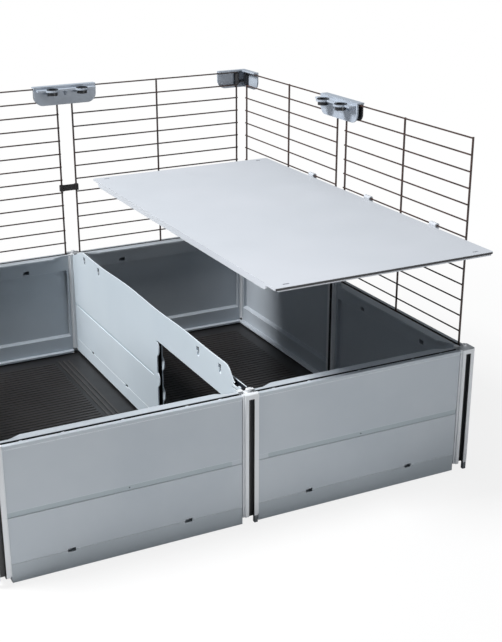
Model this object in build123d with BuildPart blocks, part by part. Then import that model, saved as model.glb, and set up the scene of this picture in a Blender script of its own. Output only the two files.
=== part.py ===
from build123d import *
import math
import os

os.makedirs("parts", exist_ok=True)

# A modular indoor rabbit cage, two bays wide and two modules deep. X runs to the right along the
# front, Y runs to the back and Z runs up. The origin is on the floor, midway between the posts.

# Module grid: the posts stand one module apart
module = 355.0

# Post: a square bar with a groove in each side and its outer corners notched
post_half = 12.0
post_notch = 2.4
groove_width = 8.6
groove_depth = 6.5
post_bottom = 11.0
post_proud = 1.5
post_bridge = 7.0
knob_radius = 3.5
knob_height = 4.5
post_rounding = 1.2

# Foot under a post prong
foot_width = 5.0

# Base wall panel
wall_height = 194.5
wall_face = 8.0
wall_end_gap = 0.5
wall_skin = 2.5
lip_proud = 1.0
lip_height = 5.0
net_slot = 5.5
net_slot_depth = 17.0
ledge_reach = 17.0
ledge_thickness = 3.0
ledge_full_from_post = 45.0
ledge_none_from_post = 26.0
top_band_height = 28.5
field_depth = 7.0
field_margin = 4.0
field_bottom = 38.0
field_slope = 3.0
base_ledge_top = 8.0
ledge_mitre_gap = 0.2
tongue_thickness = 8.0
tongue_bottom = 14.0
tongue_gap = 0.7
window_offset = 83.5
window_width = 11.0
window_height = 5.5
outer_window_z = 27.0
band_z = 97.4
band_width = 8.0
band_depth = 1.0
crease_width = 0.8
crease_depth = 0.6

# Divider panel with its doorway
divider_thickness = 10.0
divider_chamber = 6.4
divider_bottom = 7.0
divider_far_proud = 3.0
divider_rim = 6.0
crest_rise = 19.5
crest_back = [(0.0, -0.03), (14.5, 0.12), (30.0, 0.44), (45.0, 0.77), (73.0, 0.9)]
crest_middle = [(0.56, 0.85), (0.2, 1.06), (-0.19, 0.94), (-0.42, 1.03), (-0.7, 0.95)]
crest_front = [(52.5, 0.97), (40.5, 0.9), (32.5, 0.61), (26.5, 0.28), (20.0, 0.02), (12.0, 0.0)]
divider_mouth_start = 6.0
divider_mouth_end = 28.0
divider_dip = 4.0
divider_band_width = 5.0
divider_band_z = 101.4
divider_band_start = 11.0
divider_slot_drop = 8.0
divider_slot_width = 2.4
divider_slot_length = 16.0
door_front = -303.0
door_back = -51.0
door_sill = 40.0
door_top = 164.5
lug_depth = 8.0
lug_height = 24.0
lug_pitch = 53.0
lug_first_z = 149.5
hook_slot_width = 9.0
hook_slot_height = 8.0
hook_slot_leg = 6.0
hook_slot_drop = 12.0
hook_slots = (0.783, 0.58, -0.58, -0.783)
divider_window_z = 31.0

# Floor sheets
sheet_base = 1.9
sheet_rib = 0.8
sheet_rib_width = 4.0
sheet_rib_pitch = 10.0
sheet_lap = 8.0
sheet_border = 64.0
sheet_outer_border = 30.0

# Wire netting
net_pitch = 23.65
net_top = 500.6
net_edge_from_post = 13.8
upright_wire = 3.0
cross_wire = 2.2
wire_set_down = 0.8
upright_offset = 0.7

# Clip that joins two nets along their top wires
clip_half = 57.0
clip_drop = 28.7
clip_apron_in = 5.0
clip_wall = 2.5
clip_corner_radius = 16.0
clip_wire_gap = 0.25
clip_shelf_thickness = 3.0
clip_shelf_reach = 20.0
clip_lobe_radius = 12.0
clip_plate_out = 5.4
cup_spacing = 54.0
cup_bore = 6.5
cup_wall = 2.5
cup_depth = 8.4
cup_rim = 1.2
cup_floor = 2.0
gusset_leg = 10.0
gusset_thickness = 2.0
corner_arm = 52.0
grip_wall = 2.0

# Small clip half way up that joins two upright wires
tie_height = 11.0
tie_z = 314.0
tie_wall = 2.4
tie_gap = 0.25

# Shelf and the hooks that hang it on the right-hand nets
shelf_rows_down = 6
shelf_left = 7.0
shelf_edge_gap = 7.9
shelf_front = -415.0
shelf_back = 244.0
shelf_thickness = 3.0
shelf_flange = 9.5
shelf_flange_inset = 25.0
shelf_flange_wall = 2.5
shelf_lip = 5.0
shelf_rib = 4.5
shelf_slot_length = 10.0
shelf_slot_width = 2.6
shelf_slot_inset = 22.0
hook_width = 16.0
hook_gap = 0.3
hook_wall = 2.3
hook_tip = 5.0
hook_pad = 24.0

# Sizes worked out from the ones above
span = module - 2 * post_half
wall_length = span - 2 * wall_end_gap
groove_floor = post_half - groove_depth
wall_from_post = post_half + wall_end_gap
tongue_end = groove_floor + tongue_gap
net_slot_floor = wall_height - net_slot_depth
net_rows = math.floor((net_top - net_slot_floor) / net_pitch) + 1
post_top = wall_height + post_proud
first_upright = module / 2 - net_edge_from_post
row_z = [net_top - k * net_pitch for k in range(net_rows)]
upright_y = -upright_offset
cross_y = upright_y + upright_wire / 2 + cross_wire / 2 - wire_set_down
top_wire_crest = net_top + cross_wire / 2 / math.cos(math.pi / 6)

# The four sides of the cage: the way along each wall, seen from inside it
side_along = {"front": (1, 0, 0), "right": (0, 1, 0), "back": (-1, 0, 0), "left": (0, -1, 0)}


def side_place(side, along):
    """A plane on one side's wall line: its X runs along the wall and its Y points into the cage."""
    dx, dy, _ = side_along[side]
    return Plane(origin=(dy * module + dx * along, -dx * module + dy * along, 0), x_dir=(dx, dy, 0))


def write(part, name):
    """Label one finished piece and write it as its own file."""
    part.label = name
    export_step(part, f"parts/{name}.step")


def put(part, name, place):
    """Stand a copy of a finished piece at a place and write it under its own name."""
    with BuildPart(place) as copy:
        add(part)
    write(copy.part, name)


# Base wall panel, made standing on the middle of its own wall line
with BuildPart() as wall:
    frame_y = wall_face
    with BuildSketch(Plane.YZ) as wall_section:
        with BuildLine():
            Polyline(
                (-wall_face, 0),
                (-wall_face, wall_height - lip_height - lip_proud),
                (-wall_face - lip_proud, wall_height - lip_height),
                (-wall_face - lip_proud, wall_height),
                (ledge_reach, wall_height),
                (ledge_reach, wall_height - ledge_thickness),
                (frame_y, wall_height - ledge_thickness),
                (frame_y, base_ledge_top),
                (ledge_reach, base_ledge_top),
                (ledge_reach, base_ledge_top - ledge_thickness),
                (frame_y, base_ledge_top - ledge_thickness),
                (frame_y, 0),
                close=True,
            )
        make_face()
    extrude(amount=wall_length / 2, both=True)
    # Rounded edges of the outer lip and the inner ledge
    fillet(wall.edges().filter_by(Axis.X).group_by(Axis.Z)[-1], radius=post_rounding)
    # Sunk field inside, with a sloped sill under it
    with BuildSketch(Plane.YZ):
        with BuildLine():
            Polyline(
                (frame_y, wall_height - top_band_height),
                (frame_y - field_depth, wall_height - top_band_height),
                (frame_y - field_depth, field_bottom),
                (frame_y, field_bottom - field_slope),
                close=True,
            )
        make_face()
    extrude(amount=wall_length / 2 - field_margin, both=True, mode=Mode.SUBTRACT)
    # Groove that the net stands in
    with BuildSketch(Plane.YZ):
        with Locations((0, (wall_height + net_slot_floor) / 2)):
            Rectangle(net_slot, net_slot_depth)
    extrude(amount=wall_length / 2, both=True, mode=Mode.SUBTRACT)
    # Hollow between the two skins
    hollow_out = wall_face - wall_skin
    hollow_in = frame_y - field_depth - wall_skin
    band_bottom = wall_height - top_band_height + wall_skin
    hollow_top = net_slot_floor - wall_skin
    with BuildSketch(Plane.YZ):
        with BuildLine():
            Polyline(
                (-hollow_out, wall_skin),
                (hollow_in, wall_skin),
                (hollow_in, band_bottom),
                (hollow_out, band_bottom),
                (hollow_out, hollow_top),
                (-hollow_out, hollow_top),
                close=True,
            )
        make_face()
    extrude(amount=wall_length / 2 - wall_from_post, both=True, mode=Mode.SUBTRACT)
    # Snap windows: two low in the outer skin and two in the band inside
    inner_window_z = (hollow_top + band_bottom) / 2
    with BuildSketch(Plane.XZ.offset(hollow_out)):
        with Locations((-window_offset, outer_window_z), (window_offset, outer_window_z)):
            Rectangle(window_width, window_height)
    extrude(amount=2 * wall_skin, mode=Mode.SUBTRACT)
    with BuildSketch(Plane.XZ.offset(-hollow_out)):
        with Locations((-window_offset, inner_window_z), (window_offset, inner_window_z)):
            Rectangle(window_width, hollow_top - band_bottom)
    extrude(amount=-2 * wall_skin, mode=Mode.SUBTRACT)
    # Shallow band half way up the outside and the crease that runs through the windows
    with BuildSketch(Plane.XZ.offset(wall_face - band_depth)):
        with Locations((0, band_z)):
            Rectangle(wall_length, band_width)
    extrude(amount=2 * band_depth, mode=Mode.SUBTRACT)
    with BuildSketch(Plane.XZ.offset(wall_face - crease_depth)):
        with Locations((0, outer_window_z)):
            Rectangle(wall_length, crease_width)
    extrude(amount=2 * crease_depth, mode=Mode.SUBTRACT)
    # The upper ledge is cut away towards the posts
    ledge_end = wall_length / 2 - (ledge_none_from_post - wall_from_post)
    ledge_full = wall_length / 2 - (ledge_full_from_post - wall_from_post)
    with BuildSketch(Plane.XY.offset(wall_height - 2 * ledge_thickness)):
        for way in (-1, 1):
            with BuildLine():
                Polyline(
                    (way * wall_length / 2, frame_y),
                    (way * ledge_end, frame_y),
                    (way * ledge_full, ledge_reach),
                    (way * wall_length / 2, ledge_reach),
                    close=True,
                )
            make_face()
    extrude(amount=2 * ledge_thickness, mode=Mode.SUBTRACT)
    # The base ledge is mitred, so that two of them meet in a corner
    mitre_start = wall_from_post - ledge_mitre_gap
    mitre_end = module / 2 - ledge_reach - ledge_mitre_gap
    with BuildSketch(Plane.XY):
        for way in (-1, 1):
            with BuildLine():
                Polyline(
                    (way * wall_length / 2, mitre_start),
                    (way * mitre_end, ledge_reach),
                    (way * wall_length / 2, ledge_reach),
                    close=True,
                )
            make_face()
    extrude(amount=base_ledge_top, mode=Mode.SUBTRACT)
    # Tongues that slide into the grooves of the posts
    tongue_reach = wall_from_post - tongue_end
    tongue_height = net_slot_floor - tongue_bottom
    with BuildSketch(Plane.XY.offset(tongue_bottom)):
        for way in (-1, 1):
            with Locations((way * (wall_length / 2 + tongue_reach / 2), 0)):
                Rectangle(tongue_reach, tongue_thickness)
    extrude(amount=tongue_height)

wall_names = {
    "wall_front_left": ("front", -1),
    "wall_front_right": ("front", 1),
    "wall_right_front": ("right", -1),
    "wall_right_back": ("right", 1),
    "wall_back_right": ("back", -1),
    "wall_back_left": ("back", 1),
    "wall_left_back": ("left", -1),
    "wall_left_front": ("left", 1),
}
for name, (side, way) in wall_names.items():
    put(wall.part, name, side_place(side, way * module / 2))


def post_body(bridged):
    """A post on its own axis. bridged lists the sides whose groove is closed at the top."""
    with BuildPart() as post:
        with BuildSketch(Plane.XY.offset(post_bottom)):
            Rectangle(2 * post_half, 2 * post_half)
            corner = post_half - post_notch / 2
            with Locations(*[(sx * corner, sy * corner) for sx in (-1, 1) for sy in (-1, 1)]):
                Rectangle(post_notch, post_notch, mode=Mode.SUBTRACT)
            groove_mid = post_half - groove_depth / 2
            with Locations((groove_mid, 0), (-groove_mid, 0)):
                Rectangle(groove_depth, groove_width, mode=Mode.SUBTRACT)
            with Locations((0, groove_mid), (0, -groove_mid)):
                Rectangle(groove_width, groove_depth, mode=Mode.SUBTRACT)
        extrude(amount=post_top - post_bottom)
        for dx, dy in bridged:
            with BuildSketch(Plane.XY.offset(post_top - post_bridge)):
                with Locations((dx * groove_mid, dy * groove_mid)):
                    Rectangle(
                        groove_depth if dx else groove_width,
                        groove_depth if dy else groove_width,
                    )
            extrude(amount=post_bridge)
        # Rounded prong tops on the outer side
        front_top = post.edges().group_by(Axis.Z)[-1].filter_by(Axis.X).sort_by(Axis.Y)[0]
        fillet(front_top, radius=post_rounding)
        with BuildSketch(Plane.XY.offset(post_top)):
            Circle(knob_radius)
        extrude(amount=knob_height)
        fillet(post.faces().sort_by(Axis.Z)[-1].edges(), radius=post_rounding)
    return post.part


mid_post = post_body([(0, -1)])
corner_post = post_body([(0, -1), (1, 0)])
post_places = {}
for side in side_along:
    post_places[f"post_{side}_mid"] = (mid_post, side_place(side, 0))
corner_names = {
    "front": "post_front_right",
    "right": "post_back_right",
    "back": "post_back_left",
    "left": "post_front_left",
}
for side, name in corner_names.items():
    post_places[name] = (corner_post, side_place(side, module))
for name, (body, place) in post_places.items():
    put(body, name, place)

# Two small feet stand under each post, below opposite prongs
prong_mid = (groove_width / 2 + post_half - post_notch) / 2
with BuildPart() as feet_pair:
    with BuildSketch(Plane.XY):
        with Locations((prong_mid, -post_half + foot_width / 2), (-prong_mid, post_half - foot_width / 2)):
            Rectangle(foot_width, foot_width)
    extrude(amount=post_bottom)
with BuildPart() as post_feet:
    for body, place in post_places.values():
        with Locations(place.location):
            add(feet_pair.part)
write(post_feet.part, "post_feet")

# Divider: two skins on edge between the middle posts. The left one rises into a wavy crest.
divider_end = module - wall_from_post
skin = (divider_thickness - divider_chamber) / 2
far_top = wall_height + divider_far_proud
crest_top = far_top + crest_rise
left_face = Plane.YZ.offset(-divider_thickness / 2)
with BuildPart() as divider:
    with BuildSketch(Plane.YZ):
        with Locations((0, (far_top + divider_bottom) / 2)):
            Rectangle(2 * divider_end, far_top - divider_bottom)
    extrude(amount=divider_thickness / 2, both=True)
    with BuildSketch(left_face):
        with BuildLine():
            crest = Spline(
                *[(divider_end - d, far_top + share * crest_rise) for d, share in crest_back],
                *[(module * place, far_top + share * crest_rise) for place, share in crest_middle],
                *[(d - divider_end, far_top + share * crest_rise) for d, share in crest_front],
            )
            Polyline(
                crest @ 1,
                (-divider_end, far_top),
                (-divider_end, divider_bottom),
                (divider_end, divider_bottom),
                crest @ 0,
            )
        make_face()
    extrude(amount=skin)
    # Chambers between the skins, behind and in front of the doorway, with a mouth at the front
    chamber_top = far_top - divider_rim
    chamber_bottom = divider_bottom + divider_rim
    chamber_end = divider_end - divider_rim
    with BuildSketch(Plane.YZ):
        for start, end in ((-chamber_end, door_front), (door_back, chamber_end)):
            with Locations(((start + end) / 2, (chamber_top + chamber_bottom) / 2)):
                Rectangle(end - start, chamber_top - chamber_bottom)
        mouth_mid = (divider_mouth_start + divider_mouth_end) / 2 - divider_end
        with Locations((mouth_mid, far_top - divider_rim / 2)):
            Rectangle(divider_mouth_end - divider_mouth_start, 2 * divider_rim)
    extrude(amount=divider_chamber / 2, both=True, mode=Mode.SUBTRACT)
    # The left skin dips in an arc along the mouth, above a small slot
    with BuildSketch(left_face):
        with BuildLine():
            ThreePointArc(
                (divider_mouth_end - divider_end, far_top),
                (mouth_mid, far_top - divider_dip),
                (divider_mouth_start - divider_end, far_top),
            )
            Line((divider_mouth_start - divider_end, far_top), (divider_mouth_end - divider_end, far_top))
        make_face()
        with Locations((mouth_mid, far_top - divider_slot_drop)):
            Rectangle(divider_slot_length, divider_slot_width)
    extrude(amount=skin, mode=Mode.SUBTRACT)
    # Doorway
    door_mid_z = (door_top + door_sill) / 2
    with BuildSketch(Plane.YZ):
        with Locations(((door_front + door_back) / 2, door_mid_z)):
            Rectangle(door_back - door_front, door_top - door_sill)
    extrude(amount=divider_thickness / 2, both=True, mode=Mode.SUBTRACT)
    # Scalloped guide down both jambs: lugs of the left and right skins take turns
    lug_layers = [
        (-divider_thickness / 2, lug_first_z),
        (divider_chamber / 2, lug_first_z - lug_pitch / 2),
    ]
    for layer, first_z in lug_layers:
        lug_count = math.floor((first_z - lug_height / 2 - door_sill) / lug_pitch) + 1
        for jamb, way in ((door_back, -1), (door_front, 1)):
            for k in range(lug_count):
                z = first_z - k * lug_pitch
                with BuildSketch(Plane.YZ.offset(layer)):
                    with BuildLine():
                        ThreePointArc(
                            (jamb, z - lug_height / 2),
                            (jamb + way * lug_depth, z),
                            (jamb, z + lug_height / 2),
                        )
                        Line((jamb, z + lug_height / 2), (jamb, z - lug_height / 2))
                    make_face()
                extrude(amount=skin)
    # Hook-shaped slots in the crest
    with BuildSketch(left_face):
        for place in hook_slots:
            with Locations((module * place, crest_top - hook_slot_drop)):
                Rectangle(hook_slot_width, hook_slot_height)
            leg_z = crest_top - hook_slot_drop - hook_slot_height / 2 - hook_slot_leg / 2
            with Locations((module * place - (hook_slot_width - hook_slot_leg) / 2, leg_z)):
                Rectangle(hook_slot_leg, hook_slot_leg)
    extrude(amount=skin, mode=Mode.SUBTRACT)
    # Small windows along the foot of both skins
    with BuildSketch(Plane.YZ):
        with Locations((module * 0.25, divider_window_z), (module * 0.723, divider_window_z)):
            Rectangle(window_width, window_height)
    extrude(amount=divider_thickness / 2, both=True, mode=Mode.SUBTRACT)
    # Crease and shallow band on both faces
    for face_x, push in ((-divider_thickness / 2, 1), (divider_thickness / 2, -1)):
        with BuildSketch(Plane.YZ.offset(face_x)):
            with Locations((0, divider_window_z)):
                Rectangle(2 * divider_end, crease_width)
            band_front = door_back + 2 * lug_depth
            band_back = divider_end - divider_band_start
            with Locations(((band_front + band_back) / 2, divider_band_z)):
                Rectangle(band_back - band_front, divider_band_width)
        extrude(amount=push * crease_depth, mode=Mode.SUBTRACT)
    # Tongues that slide down the grooves of the middle posts
    divider_tongue = divider_end - module + tongue_end
    with BuildSketch(Plane.XY.offset(tongue_bottom)):
        for way in (-1, 1):
            with Locations((0, way * (module - tongue_end - (wall_from_post - tongue_end) / 2))):
                Rectangle(tongue_thickness, wall_from_post - tongue_end)
    extrude(amount=far_top - divider_rim - tongue_bottom)
write(divider.part, "divider_panel")


def floor_sheet(way):
    """One bay's ribbed floor sheet. The left one (-1) laps under the right one (1) at the divider."""
    sheet_edge = module - post_half
    lap_thickness = sheet_base / 2
    with BuildPart() as sheet:
        start = sheet_lap / 2 + (0.3 if way > 0 else 0.0)
        with BuildSketch(Plane.XY):
            with Locations((way * (sheet_edge + start) / 2, 0)):
                Rectangle(sheet_edge - start, 2 * sheet_edge)
        extrude(amount=sheet_base)
        lap_bottom = 0.0 if way < 0 else lap_thickness + 0.1
        lap_top = lap_thickness if way < 0 else sheet_base
        with BuildSketch(Plane.XY.offset(lap_bottom)):
            with Locations((0 if way < 0 else 0.3, 0)):
                Rectangle(sheet_lap, 2 * sheet_edge)
        extrude(amount=lap_top - lap_bottom)
        # Ribs across the bay, inside a plain border
        rib_start = sheet_border
        rib_end = sheet_edge - sheet_outer_border
        rib_count = math.floor((2 * sheet_edge - 2 * sheet_outer_border) / sheet_rib_pitch)
        with BuildSketch(Plane.XY.offset(sheet_base)):
            with Locations((way * (rib_start + rib_end) / 2, 0)):
                with GridLocations(0, sheet_rib_pitch, 1, rib_count):
                    Rectangle(rib_end - rib_start, sheet_rib_width)
            # Three long ribs follow the divider
            for line in (0.56, 0.7, 0.84):
                with Locations((way * sheet_border * line, 0)):
                    Rectangle(sheet_rib_width, 2 * (sheet_edge - sheet_outer_border))
        extrude(amount=sheet_rib)
    return sheet.part


write(floor_sheet(-1), "floor_left")
write(floor_sheet(1), "floor_right")

# Net: three upright wires and fourteen cross wires, welded where they meet
with BuildPart() as net:
    with BuildSketch(Plane.XY.offset(net_slot_floor)):
        with Locations((-first_upright, upright_y), (0, upright_y), (first_upright, upright_y)):
            RegularPolygon(upright_wire / 2, 8, major_radius=False, rotation=22.5)
    extrude(amount=net_top + cross_wire / 2 - net_slot_floor)
    with BuildSketch(Plane.YZ):
        with Locations(*[(cross_y, z) for z in row_z]):
            RegularPolygon(cross_wire / 2, 6, major_radius=False, rotation=30)
    extrude(amount=first_upright + upright_wire / 2, both=True)

net_names = {
    "net_right_front": ("right", -1),
    "net_right_back": ("right", 1),
    "net_back_right": ("back", -1),
    "net_back_left": ("back", 1),
    "net_left_back": ("left", -1),
    "net_left_front": ("left", 1),
}
for name, (side, way) in net_names.items():
    put(net.part, name, side_place(side, way * module / 2))

# Heights in the top clips
flange_bottom = top_wire_crest + clip_wire_gap
flange_top = flange_bottom + clip_wall
apron_bottom = net_top - clip_drop
clip_shelf_top = net_top - 0.4
clip_shelf_bottom = clip_shelf_top - clip_shelf_thickness
cup_outer = cup_bore + cup_wall
cup_top = clip_shelf_top + cup_rim
apron_face = clip_apron_in + clip_wall

# Straight top clip, on the post's wall line: hood, apron and a shelf with two round lobes
with BuildPart() as bracket:
    with BuildSketch(Plane.XZ.offset(-apron_face)) as apron:
        with Locations((0, (flange_top + apron_bottom) / 2)):
            Rectangle(2 * clip_half, flange_top - apron_bottom)
        fillet(apron.vertices().group_by(Axis.Y)[0], radius=clip_corner_radius)
    extrude(amount=clip_wall)
    with BuildSketch(Plane.XY.offset(flange_bottom)):
        with Locations((0, (apron_face - clip_plate_out) / 2)):
            Rectangle(2 * clip_half, apron_face + clip_plate_out)
    extrude(amount=clip_wall)
    with BuildSketch(Plane.XY.offset(clip_shelf_bottom)):
        with Locations((0, (clip_apron_in + clip_shelf_reach) / 2)):
            Rectangle(2 * clip_half - 8, clip_shelf_reach - clip_apron_in)
        with GridLocations(cup_spacing, 0, 2, 1):
            with Locations((0, clip_shelf_reach)):
                Circle(clip_lobe_radius)
    extrude(amount=clip_shelf_thickness)
    for x in (-clip_half * 0.55, 0, clip_half * 0.55):
        with BuildSketch(Plane.YZ.offset(x - gusset_thickness / 2)):
            with BuildLine():
                Polyline(
                    (apron_face, clip_shelf_bottom),
                    (apron_face + gusset_leg, clip_shelf_bottom),
                    (apron_face, clip_shelf_bottom - gusset_leg),
                    close=True,
                )
            make_face()
        extrude(amount=gusset_thickness)
    # Holes for the cups, cut through the shelf and the gussets
    with BuildSketch(Plane.XY.offset(clip_shelf_top)):
        with Locations((-cup_spacing / 2, clip_shelf_reach), (cup_spacing / 2, clip_shelf_reach)):
            Circle(cup_outer)
    extrude(amount=-(clip_shelf_thickness + gusset_leg), mode=Mode.SUBTRACT)

# Clamp plate behind the wires, under the hood
with BuildPart() as clamp:
    with BuildSketch(Plane.XZ.offset(clip_plate_out - clip_wall)) as clamp_face:
        with Locations((0, (flange_bottom + apron_bottom + 2) / 2)):
            Rectangle(2 * clip_half - 4, flange_bottom - apron_bottom - 2)
        fillet(clamp_face.vertices().group_by(Axis.Y)[0], radius=clip_corner_radius - 4)
    extrude(amount=clip_wall)

# Round cup that takes a roof hinge, hanging in the clip's shelf by its rim
with BuildPart() as cup:
    with BuildSketch(Plane.XY.offset(cup_top - cup_depth - cup_floor)):
        Circle(cup_outer - 0.15)
    extrude(amount=cup_depth + cup_floor)
    with BuildSketch(Plane.XY.offset(clip_shelf_top)):
        Circle(cup_outer + cup_rim)
    extrude(amount=cup_rim)
    with BuildSketch(Plane.XY.offset(cup_top - cup_depth)):
        Circle(cup_bore)
    extrude(amount=cup_depth, mode=Mode.SUBTRACT)
with BuildPart() as cup_pair:
    with Locations((-cup_spacing / 2, clip_shelf_reach, 0), (cup_spacing / 2, clip_shelf_reach, 0)):
        add(cup.part)

for side in ("back", "right", "left"):
    put(bracket.part, f"clip_{side}", side_place(side, 0))
    put(clamp.part, f"clip_{side}_clamp", side_place(side, 0))
    put(cup_pair.part, f"clip_{side}_cups", side_place(side, 0))


def corner_points(reach_in, reach_out, arm):
    """The outline of an L-shaped strip round a corner, from reach_out outside it to reach_in inside."""
    return [
        (-arm, reach_out),
        (reach_out, reach_out),
        (reach_out, -arm),
        (-reach_in, -arm),
        (-reach_in, -reach_in),
        (-arm, -reach_in),
    ]


# Corner top clip, on the back right post: an angle outside the wires under an angle-shaped hood
plate_in = clip_plate_out - clip_wall
with BuildPart() as corner_bracket:
    with BuildSketch(Plane.XY.offset(flange_bottom)):
        with BuildLine():
            Polyline(*corner_points(clip_apron_in, clip_plate_out, corner_arm), close=True)
        make_face()
    extrude(amount=clip_wall)
    with BuildSketch(Plane.XY.offset(apron_bottom)):
        with BuildLine():
            Polyline(*corner_points(-plate_in, clip_plate_out, corner_arm), close=True)
        make_face()
    extrude(amount=flange_bottom - apron_bottom)
    # Lower corners of both arms are rounded off
    low_edges = corner_bracket.edges().group_by(Axis.Z)[0]
    back_end = low_edges.filter_by(Axis.Y).sort_by(Axis.X)[0]
    side_end = low_edges.filter_by(Axis.X).sort_by(Axis.Y)[0]
    fillet([back_end, side_end], radius=clip_corner_radius)

# Dark hooks inside the angle: one round the end upright of each net, with a web between them
grip_bottom = row_z[1] + cross_wire / 2 / math.cos(math.pi / 6) + clip_wire_gap
grip_top = flange_bottom - cross_wire - 2 * clip_wire_gap - 0.8
grip_bore = upright_wire / 2 / math.cos(math.pi / 8) + clip_wire_gap
grip_half = grip_bore + grip_wall
grip_out = plate_in - 0.1
with BuildPart() as corner_hooks:
    with BuildSketch(Plane.XY.offset(grip_bottom)):
        back_reach = grip_out - upright_offset + grip_half
        with Locations((-net_edge_from_post, grip_out - back_reach / 2)):
            Rectangle(2 * grip_half, back_reach)
        with Locations((grip_out - back_reach / 2, -net_edge_from_post)):
            Rectangle(back_reach, 2 * grip_half)
        bore_reach = grip_out - upright_offset
        with Locations((-net_edge_from_post, upright_offset + bore_reach / 2)):
            Rectangle(2 * grip_bore, bore_reach, mode=Mode.SUBTRACT)
        with Locations((upright_offset + bore_reach / 2, -net_edge_from_post)):
            Rectangle(bore_reach, 2 * grip_bore, mode=Mode.SUBTRACT)
        with Locations((-net_edge_from_post, upright_offset), (upright_offset, -net_edge_from_post)):
            Circle(grip_bore, mode=Mode.SUBTRACT)
    extrude(amount=grip_top - grip_bottom)
    with BuildSketch(Plane.XY.offset(grip_bottom + 3.0)):
        with BuildLine():
            web_leg = net_edge_from_post - grip_bore - grip_wall / 2
            Polyline((grip_out, grip_out), (-web_leg, grip_out), (grip_out, -web_leg), close=True)
        make_face()
    extrude(amount=clip_wall)

back_right = Plane(origin=(module, module, 0))
for stem, piece in (("", corner_bracket), ("_hooks", corner_hooks)):
    put(piece.part, f"clip_corner_right{stem}", back_right)
    with BuildPart() as left_copy:
        with Locations(back_right.location):
            add(piece.part)
        mirror(about=Plane.YZ, mode=Mode.REPLACE)
    write(left_copy.part, f"clip_corner_left{stem}")

# Small tie half way up: a bar with an open hook round each of the two upright wires
with BuildPart() as tie:
    tie_inner = upright_wire / 2 / math.cos(math.pi / 8) + tie_gap
    with BuildSketch(Plane.XY.offset(tie_z)):
        for way in (-1, 1):
            with Locations((way * net_edge_from_post, upright_y)):
                Circle(tie_inner + tie_wall)
        with Locations((0, upright_y)):
            Rectangle(2 * net_edge_from_post, tie_wall)
        for way in (-1, 1):
            with Locations((way * net_edge_from_post, upright_y)):
                Circle(tie_inner, mode=Mode.SUBTRACT)
            mouth = tie_inner + tie_wall
            with Locations((way * (net_edge_from_post + mouth / 2 + 0.6), upright_y)):
                Rectangle(mouth, 2 * tie_inner - 0.8, mode=Mode.SUBTRACT)
    extrude(amount=tie_height)
for side in ("back", "right", "left"):
    put(tie.part, f"tie_{side}", side_place(side, 0))

# Shelf: a flat plate with turned-down edges, hung by its right edge on one row of wire
wire_x = module - cross_y
wire_z = row_z[shelf_rows_down]
shelf_right = wire_x - shelf_edge_gap
shelf_top = wire_z
shelf_under = shelf_top - shelf_thickness
shelf_width = shelf_right - shelf_left
shelf_length = shelf_back - shelf_front
shelf_mid = ((shelf_left + shelf_right) / 2, (shelf_front + shelf_back) / 2)
with BuildPart() as shelf:
    with BuildSketch(Plane.XY.offset(shelf_under)):
        with Locations(shelf_mid):
            RectangleRounded(shelf_width, shelf_length, 3.0)
            with GridLocations(
                shelf_width - 2 * shelf_slot_inset, shelf_length - shelf_slot_inset, 2, 2
            ):
                SlotOverall(shelf_slot_length, shelf_slot_width, mode=Mode.SUBTRACT)
    extrude(amount=shelf_thickness)
    # Flange down the left edge, short of both ends
    with BuildSketch(Plane.YZ.offset(shelf_left)) as flange:
        with Locations((shelf_mid[1], shelf_under - (shelf_flange - shelf_thickness) / 2)):
            Rectangle(shelf_length - 2 * shelf_flange_inset, shelf_flange - shelf_thickness)
        fillet(flange.vertices().group_by(Axis.Y)[0], radius=6.0)
    extrude(amount=shelf_flange_wall)
    # Lips under the front and back edges, and stiffening ribs along the underside
    with BuildSketch(Plane.XY.offset(shelf_top - shelf_lip)):
        with Locations(shelf_mid):
            with GridLocations(0, shelf_length - 2.0, 1, 2):
                Rectangle(shelf_width - 8.0, 2.0)
    extrude(amount=shelf_lip - shelf_thickness)
    with BuildSketch(Plane.XY.offset(shelf_under - shelf_rib)):
        with Locations(shelf_mid):
            with GridLocations(shelf_width / 4, 0, 3, 1):
                Rectangle(2.0, shelf_length - 2 * shelf_flange_inset)
    extrude(amount=shelf_rib)
write(shelf.part, "shelf_plate")

# Hooks under the shelf's right edge: each goes over one wire and leans on the wire below it
hook_inner = cross_wire / 2 / math.cos(math.pi / 6) + hook_gap
hook_outer = hook_inner + hook_wall
heel_z = row_z[shelf_rows_down + 1] - 4.0
heel_x = wire_x - cross_wire / 2 - hook_gap
pad_z = shelf_under - 3.0
with BuildPart() as hook:
    with BuildSketch(Plane.XZ):
        with BuildLine():
            arch = ThreePointArc(
                (wire_x + hook_outer, wire_z),
                (wire_x, wire_z + hook_outer),
                (wire_x - hook_outer, wire_z),
            )
            Polyline(
                arch @ 1,
                (wire_x - hook_outer, shelf_under),
                (wire_x - hook_outer - hook_pad, shelf_under),
                (wire_x - hook_outer - hook_pad, pad_z),
                (heel_x - hook_wall, pad_z),
                (heel_x - hook_wall, heel_z),
                (heel_x, heel_z),
                (heel_x, pad_z),
                (wire_x - hook_inner, wire_z - 2.0),
                (wire_x - hook_inner, wire_z),
            )
            inside = ThreePointArc(
                (wire_x - hook_inner, wire_z),
                (wire_x, wire_z + hook_inner),
                (wire_x + hook_inner, wire_z),
            )
            Polyline(
                inside @ 1,
                (wire_x + hook_inner, wire_z - hook_tip),
                (wire_x + hook_outer, wire_z - hook_tip),
                arch @ 0,
            )
        make_face()
    extrude(amount=hook_width / 2, both=True)
    # Strut between the pad and the heel
    with BuildSketch(Plane.XZ):
        with BuildLine():
            Polyline(
                (heel_x - hook_wall, pad_z),
                (heel_x - hook_wall, heel_z + 2.0),
                (wire_x - hook_outer - hook_pad + 2.0, pad_z),
                close=True,
            )
        make_face()
    extrude(amount=1.5, both=True)
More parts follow.
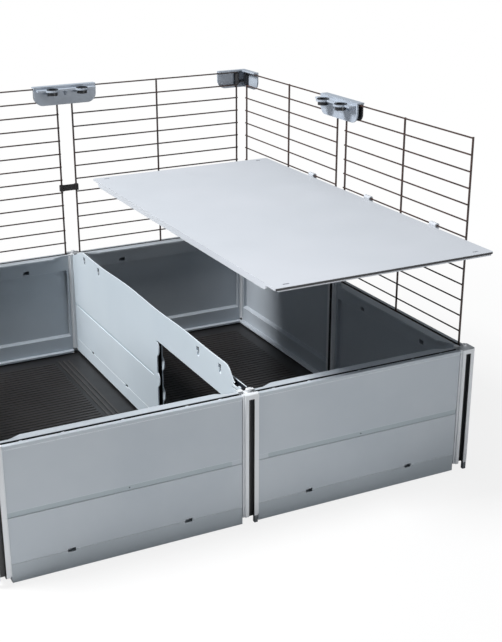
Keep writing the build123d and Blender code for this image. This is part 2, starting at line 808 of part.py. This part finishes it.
with BuildPart() as shelf_hooks:
    with Locations((0, -0.75 * module, 0), (0, -0.25 * module, 0), (0, 0.25 * module, 0)):
        add(hook.part)
write(shelf_hooks.part, "shelf_hooks")
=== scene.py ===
import math

import bmesh
import bpy
from mathutils import Matrix, Vector


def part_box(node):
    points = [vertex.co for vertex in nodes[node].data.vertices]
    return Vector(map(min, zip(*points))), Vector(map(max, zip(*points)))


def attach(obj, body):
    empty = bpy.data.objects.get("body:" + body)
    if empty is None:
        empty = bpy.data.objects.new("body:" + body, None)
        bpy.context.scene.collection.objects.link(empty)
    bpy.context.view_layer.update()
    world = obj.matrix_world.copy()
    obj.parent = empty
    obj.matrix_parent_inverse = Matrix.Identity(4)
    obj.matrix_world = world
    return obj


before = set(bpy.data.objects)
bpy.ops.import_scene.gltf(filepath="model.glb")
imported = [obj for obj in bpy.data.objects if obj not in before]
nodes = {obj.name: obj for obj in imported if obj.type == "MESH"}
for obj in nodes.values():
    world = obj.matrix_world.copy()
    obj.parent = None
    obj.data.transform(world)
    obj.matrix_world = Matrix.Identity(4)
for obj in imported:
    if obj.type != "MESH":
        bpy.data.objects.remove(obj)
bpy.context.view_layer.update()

# Camera
# A long lens from the front left, a little above the top of the nets. Its place, turn and lens
# fit the posts and the crossings of the wires.
AZIMUTH, ELEVATION, ROLL = math.radians(-24.89), math.radians(21.35), math.radians(-0.84)
back = Vector((
    math.sin(AZIMUTH) * math.cos(ELEVATION),
    -math.cos(AZIMUTH) * math.cos(ELEVATION),
    math.sin(ELEVATION),
))
right = Vector((math.cos(AZIMUTH), math.sin(AZIMUTH), 0.0))
up = back.cross(right)
right, up = (
    right * math.cos(ROLL) + up * math.sin(ROLL),
    up * math.cos(ROLL) - right * math.sin(ROLL),
)
CAMERA_PLACE = Vector((-0.6537, -1.6248, 0.8335))
LENS, SENSOR_WIDTH = 65.24, 36.0
SHIFT_X, SHIFT_Y = 0.0740, 0.0248
VIEW_REACH = 50.0
camera_data = bpy.data.cameras.new("camera")
camera_data.lens = LENS
camera_data.sensor_width = SENSOR_WIDTH
camera_data.shift_x = SHIFT_X
camera_data.shift_y = SHIFT_Y
camera_data.clip_end = VIEW_REACH
camera = bpy.data.objects.new("camera", camera_data)
camera.matrix_world = Matrix((
    (right.x, up.x, back.x, CAMERA_PLACE.x),
    (right.y, up.y, back.y, CAMERA_PLACE.y),
    (right.z, up.z, back.z, CAMERA_PLACE.z),
    (0.0, 0.0, 0.0, 1.0),
))
bpy.context.scene.collection.objects.link(camera)
bpy.context.scene.camera = camera
bpy.context.scene.view_settings.view_transform = "Standard"


# Light and floor
# A product shot: a key light high on the left, a soft box overhead, a low one in front that only
# reaches the outer walls, and a white surround.
def area_light(name, place, target, size, power):
    """A square soft box at a place, turned towards a target."""
    data = bpy.data.lights.new(name, "AREA")
    data.shape = "SQUARE"
    data.size = size
    data.energy = power
    lamp = bpy.data.objects.new(name, data)
    lamp.location = place
    lamp.rotation_euler = (Vector(target) - Vector(place)).to_track_quat("-Z", "Y").to_euler()
    bpy.context.scene.collection.objects.link(lamp)


CAGE_MIDDLE = (0.0, 0.0, 0.2)
WALL_MIDDLE = (0.0, 0.0, 0.12)
area_light("key_left", (-1.75, 0.22, 2.7), CAGE_MIDDLE, size=0.9, power=143.0)
area_light("softbox_top", (0.2, 0.0, 2.8), CAGE_MIDDLE, size=1.6, power=8.0)
area_light("softbox_low", (1.2, -2.6, 0.28), WALL_MIDDLE, size=0.5, power=11.0)


def seen_directly(tree):
    """1 for camera and glass rays, 0 for the rays that light the object."""
    path = tree.nodes.new("ShaderNodeLightPath")
    clear = tree.nodes.new("ShaderNodeMath")
    clear.operation = "MAXIMUM"
    tree.links.new(path.outputs["Is Camera Ray"], clear.inputs[0])
    tree.links.new(path.outputs["Is Transmission Ray"], clear.inputs[1])
    return clear.outputs[0]


def mix_and_show(tree, share, inner, white, output):
    """Mix an inner shader and white by a share, into an output node."""
    choose = tree.nodes.new("ShaderNodeMixShader")
    tree.links.new(share, choose.inputs[0])
    tree.links.new(inner.outputs[0], choose.inputs[1])
    tree.links.new(white.outputs[0], choose.inputs[2])
    tree.links.new(choose.outputs[0], tree.nodes.new(output).inputs["Surface"])


WHITE = (1.0, 1.0, 1.0, 1.0)
AMBIENT_COLOUR, AMBIENT_STRENGTH = (0.9, 0.96, 1.0, 1.0), 0.15
world = bpy.data.worlds.new("surround")
bpy.context.scene.world = world
world.use_nodes = True
tree = world.node_tree
tree.nodes.clear()
ambient = tree.nodes.new("ShaderNodeBackground")
ambient.inputs["Color"].default_value = AMBIENT_COLOUR
ambient.inputs["Strength"].default_value = AMBIENT_STRENGTH
white = tree.nodes.new("ShaderNodeBackground")
white.inputs["Color"].default_value = WHITE
mix_and_show(tree, seen_directly(tree), ambient, white, "ShaderNodeOutputWorld")

# White paper that keeps a soft shadow near the cage and fades into the surround further out
PAPER_HALF = 6.0
PAPER_DROP = 0.0005
PAPER_GREY = (0.8, 0.8, 0.8, 1.0)
SHADOW_REACH, FADE_END = 0.55, 1.3
WHITE_SHARE_NEAR = 0.84
paper_corners = [
    (-PAPER_HALF, -PAPER_HALF, 0.0),
    (PAPER_HALF, -PAPER_HALF, 0.0),
    (PAPER_HALF, PAPER_HALF, 0.0),
    (-PAPER_HALF, PAPER_HALF, 0.0),
]
floor_mesh = bpy.data.meshes.new("studio_floor")
floor_mesh.from_pydata(paper_corners, [], [(0, 1, 2, 3)])
studio_floor = bpy.data.objects.new("studio_floor", floor_mesh)
studio_floor.location.z = -PAPER_DROP
bpy.context.scene.collection.objects.link(studio_floor)
floor_material = bpy.data.materials.new("studio_floor")
floor_material.use_nodes = True
tree = floor_material.node_tree
tree.nodes.clear()
paper = tree.nodes.new("ShaderNodeBsdfDiffuse")
paper.inputs["Color"].default_value = PAPER_GREY
glow = tree.nodes.new("ShaderNodeEmission")
glow.inputs["Color"].default_value = WHITE
place = tree.nodes.new("ShaderNodeTexCoord")
away = tree.nodes.new("ShaderNodeVectorMath")
away.operation = "LENGTH"
tree.links.new(place.outputs["Object"], away.inputs[0])
fade = tree.nodes.new("ShaderNodeMapRange")
fade.inputs["From Min"].default_value = SHADOW_REACH
fade.inputs["From Max"].default_value = FADE_END
fade.inputs["To Min"].default_value = WHITE_SHARE_NEAR
tree.links.new(away.outputs["Value"], fade.inputs["Value"])
share = tree.nodes.new("ShaderNodeMath")
share.operation = "MULTIPLY"
tree.links.new(fade.outputs["Result"], share.inputs[0])
tree.links.new(seen_directly(tree), share.inputs[1])
mix_and_show(tree, share.outputs[0], paper, glow, "ShaderNodeOutputMaterial")
floor_mesh.materials.append(floor_material)


# Base walls
# Eight moulded polypropylene panels, hollow, with a fine spark-eroded texture on both faces.
# Each was filled through a gate in the middle of the band that runs along its outer face.
def srgb(r, g, b):
    """A linear colour from 8-bit display values."""
    def linear(v):
        v /= 255.0
        return v / 12.92 if v <= 0.04045 else ((v + 0.055) / 1.055) ** 2.4
    return (linear(r), linear(g), linear(b), 1.0)


class Finish:
    """Builds one plastic or painted finish, step by step, from its shader nodes."""

    # Where the slow drift of colour is fully dark and fully light, and how far gloss varies
    DARK_BELOW, LIGHT_ABOVE = 0.32, 0.68
    GLOSSIER, DULLER = 0.05, 0.07
    # How often the gloss changes for each change of colour
    GLOSS_STEPS = 5.0
    # The cosine between rounded and flat surface under which a point counts as an edge
    EDGE_COSINE = 0.97
    EDGE_RADIUS, EDGE_SAMPLES = 0.0009, 4

    def __init__(self, name, light, dark, roughness, blotch=9.0):
        self.material = bpy.data.materials.new(name)
        self.material.use_nodes = True
        self.tree = self.material.node_tree
        self.shader = self.tree.nodes["Principled BSDF"]
        self.place = self.add("ShaderNodeTexCoord").outputs["Object"]
        split = self.add("ShaderNodeSeparateXYZ")
        self.link(self.place, split.inputs[0])
        self.x, self.y, self.z = split.outputs
        # Colour that drifts slowly over the piece
        drift = self.noise(blotch, detail=3.0)
        self.colour = self.ramp(drift, self.DARK_BELOW, dark, self.LIGHT_ABOVE, light)
        # Slightly uneven gloss
        gloss = self.add("ShaderNodeMapRange")
        gloss.inputs["To Min"].default_value = roughness - self.GLOSSIER
        gloss.inputs["To Max"].default_value = roughness + self.DULLER
        self.link(self.noise(blotch * self.GLOSS_STEPS, detail=2.0), gloss.inputs["Value"])
        self.link(gloss.outputs["Result"], self.shader.inputs["Roughness"])

    def add(self, kind):
        """A new node of a kind."""
        return self.tree.nodes.new(kind)

    def link(self, start, end):
        """Join one socket to another."""
        self.tree.links.new(start, end)

    def noise(self, scale, detail):
        """Fac of a noise fixed to the object."""
        texture = self.add("ShaderNodeTexNoise")
        texture.inputs["Scale"].default_value = scale
        texture.inputs["Detail"].default_value = detail
        self.link(self.place, texture.inputs["Vector"])
        return texture.outputs["Fac"]

    def ramp(self, value, low, low_colour, high, high_colour):
        """Two colours over a range of a value."""
        node = self.add("ShaderNodeValToRGB")
        node.color_ramp.elements[0].position = low
        node.color_ramp.elements[0].color = low_colour
        node.color_ramp.elements[1].position = high
        node.color_ramp.elements[1].color = high_colour
        self.link(value, node.inputs["Fac"])
        return node.outputs["Color"]

    def math(self, operation, *values):
        """One sum on sockets and numbers."""
        node = self.add("ShaderNodeMath")
        node.operation = operation
        for socket, value in zip(node.inputs, values):
            if isinstance(value, (int, float)):
                socket.default_value = value
            else:
                self.link(value, socket)
        return node.outputs[0]

    def between(self, value, low, high):
        """1 where a value lies between two limits, otherwise 0."""
        above = self.math("GREATER_THAN", value, low)
        return self.math("MULTIPLY", above, self.math("LESS_THAN", value, high))

    def both(self, first, second):
        """1 where two masks are both 1."""
        return self.math("MULTIPLY", first, second)

    def tint(self, mask, colour, share=1.0):
        """Lay a colour over the finish where a mask is 1."""
        blend = self.add("ShaderNodeMix")
        blend.data_type = "RGBA"
        self.link(self.math("MULTIPLY", mask, share), blend.inputs["Factor"])
        self.link(self.colour, blend.inputs["A"])
        blend.inputs["B"].default_value = colour
        self.colour = blend.outputs["Result"]

    def painted_edge_highlight(self, colour, share=0.6):
        """Painted highlight: edges painted paler, standing in for the light that they catch."""
        rounded = self.add("ShaderNodeBevel")
        rounded.samples = self.EDGE_SAMPLES
        rounded.inputs["Radius"].default_value = self.EDGE_RADIUS
        flat = self.add("ShaderNodeNewGeometry")
        turn = self.add("ShaderNodeVectorMath")
        turn.operation = "DOT_PRODUCT"
        self.link(rounded.outputs[0], turn.inputs[0])
        self.link(flat.outputs["True Normal"], turn.inputs[1])
        edge = self.math("LESS_THAN", turn.outputs["Value"], self.EDGE_COSINE)
        self.tint(edge, colour, share)

    def grain(self, scale, height, strength=0.35):
        """Moulded grain in the surface."""
        bump = self.add("ShaderNodeBump")
        bump.inputs["Strength"].default_value = strength
        bump.inputs["Distance"].default_value = height
        self.link(self.noise(scale, detail=2.0), bump.inputs["Height"])
        self.link(bump.outputs["Normal"], self.shader.inputs["Normal"])

    def done(self):
        """The finished material."""
        self.link(self.colour, self.shader.inputs["Base Color"])
        return self.material


def paint(material, *names):
    """Give CAD nodes their finished material."""
    for name in names:
        for s in nodes[name].material_slots:
            s.material = material


MODULE = 0.355
WALL_TOP = 0.1945
# The outer face where it is lowest, in the sunk band, and a depth that keeps clear of it
BAND_FACE = MODULE + 0.007
FACE_DEPTH = 0.001
CREASE_TOP = 0.0266
BAND_LOW, BAND_HIGH = 0.0934, 0.1014
BAND_END_FROM_POST = 0.028
# The net groove, a hair wider and deeper than the real one so that the shade covers its walls
GROOVE_HALF = 0.00285
GROOVE_FLOOR = 0.1774
GROOVE_RIM = 0.0006
SHADOW = srgb(20, 22, 26)
wall = Finish(
    "wall_plastic", light=srgb(184, 191, 198), dark=srgb(176, 184, 192), roughness=0.42
)
across = wall.math("ABSOLUTE", wall.x)
along = wall.math("ABSOLUTE", wall.y)
farther = wall.math("MAXIMUM", across, along)
nearer = wall.math("MINIMUM", across, along)
off_line = wall.math("ABSOLUTE", wall.math("SUBTRACT", farther, MODULE))
outside = wall.math("GREATER_THAN", farther, BAND_FACE - FACE_DEPTH)
# The strip under the crease is a little darker, and so is the band half way up
under_crease = wall.math("LESS_THAN", wall.z, CREASE_TOP)
wall.tint(wall.both(outside, under_crease), srgb(164, 172, 178), share=0.6)
band = wall.both(outside, wall.between(wall.z, BAND_LOW, BAND_HIGH))
clear_of_posts = wall.math("GREATER_THAN", nearer, BAND_END_FROM_POST)
wall.tint(wall.both(band, clear_of_posts), srgb(160, 172, 178), share=0.8)
# Painted highlight: the wall's edges are painted paler.
wall.painted_edge_highlight(srgb(232, 236, 240))
# Painted shade inside the net groove along the top of each wall.
groove = wall.both(
    wall.math("LESS_THAN", off_line, GROOVE_HALF),
    wall.between(wall.z, GROOVE_FLOOR, WALL_TOP - GROOVE_RIM),
)
wall.tint(groove, SHADOW)
wall.grain(scale=900.0, height=0.00012)
paint(wall.done(), *[n for n in nodes if n.startswith("wall_")])


SHARP_FROM = math.radians(40)


def new_piece(name, mesh, material, body):
    """Finish a piece: smooth it, give it its material and let it ride on its body."""
    data = bpy.data.meshes.new(name)
    mesh.to_mesh(data)
    mesh.free()
    piece = bpy.data.objects.new(name, data)
    bpy.context.scene.collection.objects.link(piece)
    data.materials.append(material)
    for polygon in data.polygons:
        polygon.use_smooth = True
    data.set_sharp_from_angle(angle=SHARP_FROM)
    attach(piece, body)
    return piece


def block(mesh, low, high, rounding):
    """Add a rounded block between two corners to a mesh."""
    made = bmesh.ops.create_cube(mesh, size=1.0)
    for v in made["verts"]:
        v.co = Vector([(a + b) / 2 + c * (b - a) for a, b, c in zip(low, high, v.co)])
    edges = {e for v in made["verts"] for e in v.link_edges}
    bmesh.ops.bevel(
        mesh, geom=list(edges), offset=rounding, segments=2, affect="EDGES", profile=0.6
    )


# Net stops
# Small lugs moulded with the front walls, of the same plastic, on the outer side of the empty
# grooves in which a net's lower wire would stand. There are five to a wall.
STOP_PLACES = (-0.139, -0.084, -0.003, 0.087, 0.135)
STOP_HALF_WIDTH = 0.0021
STOP_OUTER, STOP_INNER = 0.0034, 0.0004
STOP_LOW, STOP_HIGH = WALL_TOP - 0.0062, WALL_TOP - 0.0002
STOP_ROUNDING = 0.0007
stop = Finish(
    "stop_plastic",
    light=srgb(190, 196, 202),
    dark=srgb(182, 189, 196),
    roughness=0.42,
    blotch=30.0,
)
stop.grain(scale=900.0, height=0.0001)
stops = bmesh.new()
for wall_middle in (-MODULE / 2, MODULE / 2):
    for offset in STOP_PLACES:
        x = wall_middle + offset
        block(
            stops,
            (x - STOP_HALF_WIDTH, -MODULE - STOP_OUTER, STOP_LOW),
            (x + STOP_HALF_WIDTH, -MODULE - STOP_INNER, STOP_HIGH),
            STOP_ROUNDING,
        )
new_piece("net_stops_front", stops, stop.done(), "base")

# Gate marks
# The stub where each wall was filled: a low disc, darker than the wall, in the middle of the
# band on its outer face.
GATE_HEIGHT = (BAND_LOW + BAND_HIGH) / 2
GATE_DEPTH = 0.0006
GATE_FOOT_RADIUS, GATE_TOP_RADIUS = 0.0011, 0.0007
gate = Finish(
    "gate_plastic",
    light=srgb(92, 98, 104),
    dark=srgb(78, 84, 90),
    roughness=0.5,
    blotch=60.0,
)
gate.grain(scale=900.0, height=0.0001)
marks = bmesh.new()
for turn in range(4):
    for way in (-1, 1):
        made = bmesh.ops.create_cone(
            marks,
            cap_ends=True,
            segments=14,
            radius1=GATE_FOOT_RADIUS,
            radius2=GATE_TOP_RADIUS,
            depth=GATE_DEPTH,
        )
        spot = (way * MODULE / 2, -BAND_FACE - GATE_DEPTH / 2, GATE_HEIGHT)
        stand = (
            Matrix.Rotation(math.radians(90 * turn), 4, "Z")
            @ Matrix.Translation(spot)
            @ Matrix.Rotation(math.radians(90), 4, "X")
        )
        bmesh.ops.transform(marks, matrix=stand, verts=made["verts"])
new_piece("gate_marks", marks, gate.done(), "base")

# Posts
# Eight moulded square posts, paler than the walls, with a deep groove down each side that is
# closed near the top, and a small knob on the upper end.
POST_GROOVE_HALF = 0.00435
POST_GROOVE_MOUTH = 0.0112
POST_GROOVE_TOP = 0.1889
post = Finish(
    "post_plastic",
    light=srgb(224, 227, 230),
    dark=srgb(216, 219, 223),
    roughness=0.34,
    blotch=5.0,
)
# How far a point lies from the middle of its post, along X and along Y
sides = []
for axis in (post.x, post.y):
    module_share = post.math("DIVIDE", axis, MODULE)
    from_post = post.math("SUBTRACT", module_share, post.math("ROUND", module_share))
    sides.append(post.math("MULTIPLY", post.math("ABSOLUTE", from_post), MODULE))
nearest = post.math("MINIMUM", *sides)
farthest = post.math("MAXIMUM", *sides)
# Painted shade down each groove, below the bridge that closes it near the top.
post_groove_shade = post.both(
    post.math("LESS_THAN", nearest, POST_GROOVE_HALF),
    post.math("LESS_THAN", farthest, POST_GROOVE_MOUTH),
)
# Painted highlight: the post's edges are painted paler.
post.painted_edge_highlight(srgb(240, 241, 243), share=0.5)
below_bridge = post.math("LESS_THAN", post.z, POST_GROOVE_TOP)
post.tint(post.both(post_groove_shade, below_bridge), SHADOW, share=0.96)
post.grain(scale=700.0, height=0.0001, strength=0.25)
paint(post.done(), *[n for n in nodes if n.startswith("post_") and n != "post_feet"])

# Feet
# Dark moulded pads under the prongs of the posts, pushed in from below. At the front and the
# back middle post a pad with a low sill fills the corner under the divider's end.
PAD_INNER, PAD_OUTER = MODULE - 0.012, MODULE - 0.0066
PAD_NEAR, PAD_FAR = 0.0053, 0.0118
PAD_TOP = 0.0108
SILL_END = 0.004
SILL_TOP = 0.0066
PAD_ROUNDING = 0.0006
foot = Finish(
    "foot_plastic",
    light=srgb(112, 117, 121),
    dark=srgb(96, 100, 104),
    roughness=0.5,
    blotch=40.0,
)
foot.grain(scale=800.0, height=0.0001)
foot_plastic = foot.done()
paint(foot_plastic, "post_feet")
pads = bmesh.new()
for way in (-1, 1):
    near, far, end = -way * PAD_NEAR, -way * PAD_FAR, way * SILL_END
    front, rear = sorted((way * PAD_INNER, way * PAD_OUTER))
    block(pads, (min(near, far), front, 0.0), (max(near, far), rear, PAD_TOP), PAD_ROUNDING)
    block(pads, (min(far, end), front, 0.0), (max(far, end), rear, SILL_TOP), PAD_ROUNDING)
new_piece("corner_pads", pads, foot_plastic, "base")

# Divider
# A light panel of two moulded skins snapped together, with a wavy crest and a doorway whose
# jambs are a guide of lugs, set turn about on the left and the right skin.
DOOR_FRONT, DOOR_BACK = -0.3033, -0.0507
CHAMBER_TOP = 0.1977
CHAMBER_HALF = 0.0033
LINE_LOW, LINE_HIGH = 0.0989, 0.1039
LINE_FRONT = -0.036
divider = Finish(
    "divider_plastic",
    light=srgb(214, 225, 233),
    dark=srgb(207, 219, 228),
    roughness=0.36,
    blotch=6.0,
)
line_height = divider.between(divider.z, LINE_LOW, LINE_HIGH)
behind_door = divider.math("GREATER_THAN", divider.y, LINE_FRONT)
divider.tint(divider.both(line_height, behind_door), srgb(186, 202, 212), share=0.8)
# Painted highlight: the divider's edges are painted paler.
divider.painted_edge_highlight(srgb(246, 250, 252), share=0.7)
# Painted shade on the faces between the two skins, everywhere but across the doorway.
chamber_shade = divider.both(
    divider.math("LESS_THAN", divider.math("ABSOLUTE", divider.x), CHAMBER_HALF),
    divider.math("LESS_THAN", divider.z, CHAMBER_TOP),
)
doorway = divider.between(divider.y, DOOR_FRONT, DOOR_BACK)
beside_doorway = divider.math("SUBTRACT", 1.0, doorway)
divider.tint(divider.both(chamber_shade, beside_doorway), srgb(26, 30, 38))
divider.grain(scale=900.0, height=0.0001, strength=0.25)
paint(divider.done(), "divider_panel")

# Floor sheets
# Two near-black ribbed plastic sheets, laid loose in the bays, with edges that lap under the
# divider. The tops of the ribs are paler.
RIB_TOP = 0.0024
sheet = Finish(
    "floor_plastic", light=srgb(38, 37, 38), dark=srgb(24, 23, 24), roughness=0.4, blotch=7.0
)
rib_tops = sheet.math("GREATER_THAN", sheet.z, RIB_TOP)
sheet.tint(rib_tops, srgb(62, 57, 54), share=0.5)
sheet.grain(scale=600.0, height=0.0002, strength=0.4)
paint(sheet.done(), "floor_left", "floor_right")

# Nets and ties
# Six nets of welded steel wire with a dark brown powder coat, tied half way up by small
# moulded bars that hook round the last upright wire of each net.
wire = Finish(
    "wire_paint", light=srgb(70, 50, 44), dark=srgb(50, 38, 34), roughness=0.36, blotch=60.0
)
wire.grain(scale=2500.0, height=0.00006)
paint(wire.done(), *[n for n in nodes if n.startswith("net_")])
tie = Finish(
    "tie_plastic", light=srgb(50, 47, 47), dark=srgb(38, 36, 37), roughness=0.42, blotch=60.0
)
tie.grain(scale=900.0, height=0.0001)
paint(tie.done(), *[n for n in nodes if n.startswith("tie_")])

# Top clips
# Moulded grey clips over the top wires of neighbouring nets. The straight ones have a dark
# clamp plate behind the wires and two round dark cups, the corner ones dark hooks inside.
clip = Finish(
    "clip_plastic",
    light=srgb(172, 181, 192),
    dark=srgb(158, 167, 179),
    roughness=0.3,
    blotch=30.0,
)
clip.grain(scale=900.0, height=0.0001, strength=0.12)
clip_plastic = clip.done()
insert = Finish(
    "dark_plastic", light=srgb(40, 42, 46), dark=srgb(28, 30, 34), roughness=0.32, blotch=60.0
)
insert.grain(scale=900.0, height=0.0001)
dark_plastic = insert.done()
for name in nodes:
    if name.startswith("clip_"):
        is_dark = name.endswith(("_clamp", "_cups", "_hooks"))
        paint(dark_plastic if is_dark else clip_plastic, name)

# Shelf
# A large pale moulded plate with turned-down edges, hung by three hooks on the right-hand nets.
# A dark line runs along its front edge, just under the top.
EDGE_DEPTH = 0.0004
LINE_FROM_TOP, LINE_TO_TOP = 0.0034, 0.0004
low_corner, high_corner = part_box("shelf_plate")
shelf = Finish(
    "shelf_plastic",
    light=srgb(199, 203, 210),
    dark=srgb(193, 198, 205),
    roughness=0.36,
    blotch=4.0,
)
front_edge = shelf.math("LESS_THAN", shelf.y, low_corner[1] + EDGE_DEPTH)
line = shelf.between(shelf.z, high_corner[2] - LINE_FROM_TOP, high_corner[2] - LINE_TO_TOP)
shelf.tint(shelf.both(front_edge, line), srgb(34, 32, 36))
shelf.grain(scale=500.0, height=0.0001, strength=0.12)
paint(shelf.done(), "shelf_plate", "shelf_hooks")
